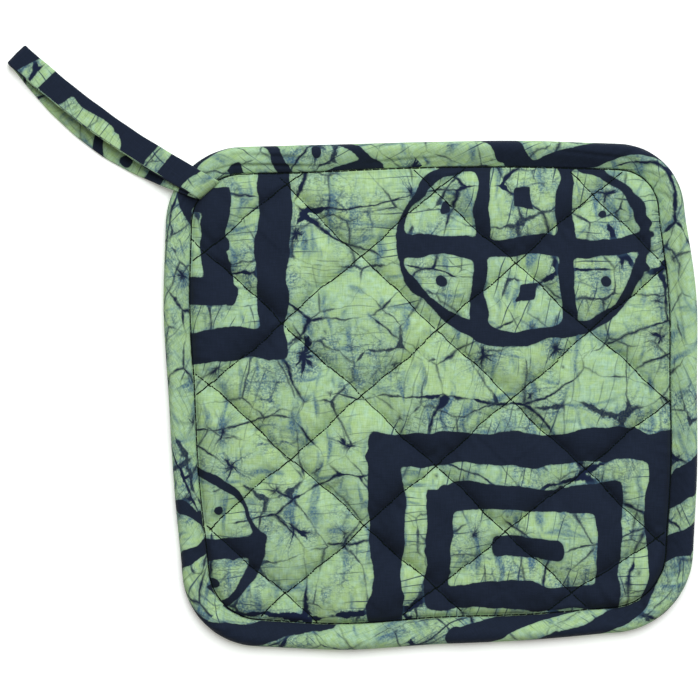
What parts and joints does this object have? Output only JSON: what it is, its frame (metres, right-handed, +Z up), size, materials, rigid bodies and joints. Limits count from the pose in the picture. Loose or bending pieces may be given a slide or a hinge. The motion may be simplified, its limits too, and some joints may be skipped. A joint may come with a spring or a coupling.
{
  "type": "quilted pot holder",
  "caption": "Square padded pot holder in quilted batik cotton, with rounded corners, a bound edge and a folded hanging loop at one corner.",
  "frame": {"origin": "middle of the padded square, on the face that lies on the table", "axes": "+Z up out of the front face, +X to the right side, +Y to the top side; the hanging loop points to -X and +Y"},
  "size_m": [0.2658, 0.2328, 0.0092],
  "materials": {
    "panel_cotton": "matt quilted cotton, pale green with a dark navy wax-resist print and fine navy veins",
    "binding_cotton": "matt cotton strip, pale green with dark navy bars and fine navy veins",
    "loop_cotton": "matt cotton strap, pale green with fine navy veins"
  },
  "bodies": {
    "root": {"quilted_panel": "panel_cotton", "edge_binding": "binding_cotton", "hanging_loop": "loop_cotton"}
  },
  "joints": []
}
